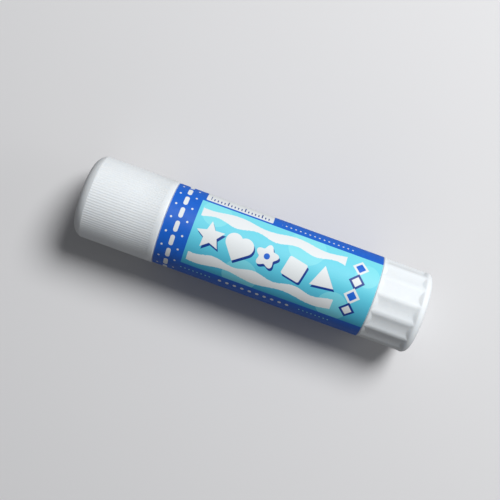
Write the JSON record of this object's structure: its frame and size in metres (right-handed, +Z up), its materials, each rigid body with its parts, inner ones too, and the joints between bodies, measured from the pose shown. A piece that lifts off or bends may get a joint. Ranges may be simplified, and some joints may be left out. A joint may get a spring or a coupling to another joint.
{
  "type": "glue stick",
  "caption": "Twist-up glue stick lying on its side: ribbed push-on cap, labelled barrel with a neck, and a fluted knob whose screw lifts the glue.",
  "frame": {"origin": "on the surface that the stick lies on, under the middle of its length", "axes": "+X runs along the stick from the cap to the knob, +Z is up, and the label's panel faces up"},
  "size_m": [0.1002, 0.024, 0.024],
  "materials": {
    "cap_plastic": "white moulded polypropylene, satin ribs",
    "seal_plastic": "natural soft polyethylene",
    "barrel_plastic": "white moulded polypropylene",
    "label_film": "glossy printed film in blue, turquoise and white",
    "screw_plastic": "white moulded plastic",
    "carriage_plastic": "white moulded plastic",
    "glue": "waxy off-white adhesive",
    "knob_plastic": "white moulded polypropylene"
  },
  "bodies": {
    "barrel": {"barrel": "barrel_plastic", "label": "label_film"},
    "drive": {"knob": "knob_plastic", "spindle": "screw_plastic"},
    "lift": {"carriage": "carriage_plastic", "adhesive": "glue"},
    "cap": {"cap": "cap_plastic", "cap_seal": "seal_plastic"}
  },
  "joints": [
    {"name": "knob_turn", "type": "hinge", "parent": "barrel", "child": "drive", "pos_m": [0.0501, 0, 0.012], "axis": [-1, 0, 0], "range_deg": [0, 4680]},
    {"name": "glue_lift", "type": "slide", "parent": "barrel", "child": "lift", "axis": [-1, 0, 0], "range_m": [0, 0.065]},
    {"name": "cap_pull", "type": "slide", "parent": "lift", "child": "cap", "axis": [-1, 0, 0], "range_m": [0, 0.03]}
  ],
  "couplings": [
    {"joint": "knob_turn", "follows": "glue_lift", "rad_per_m": 1256.6}
  ]
}
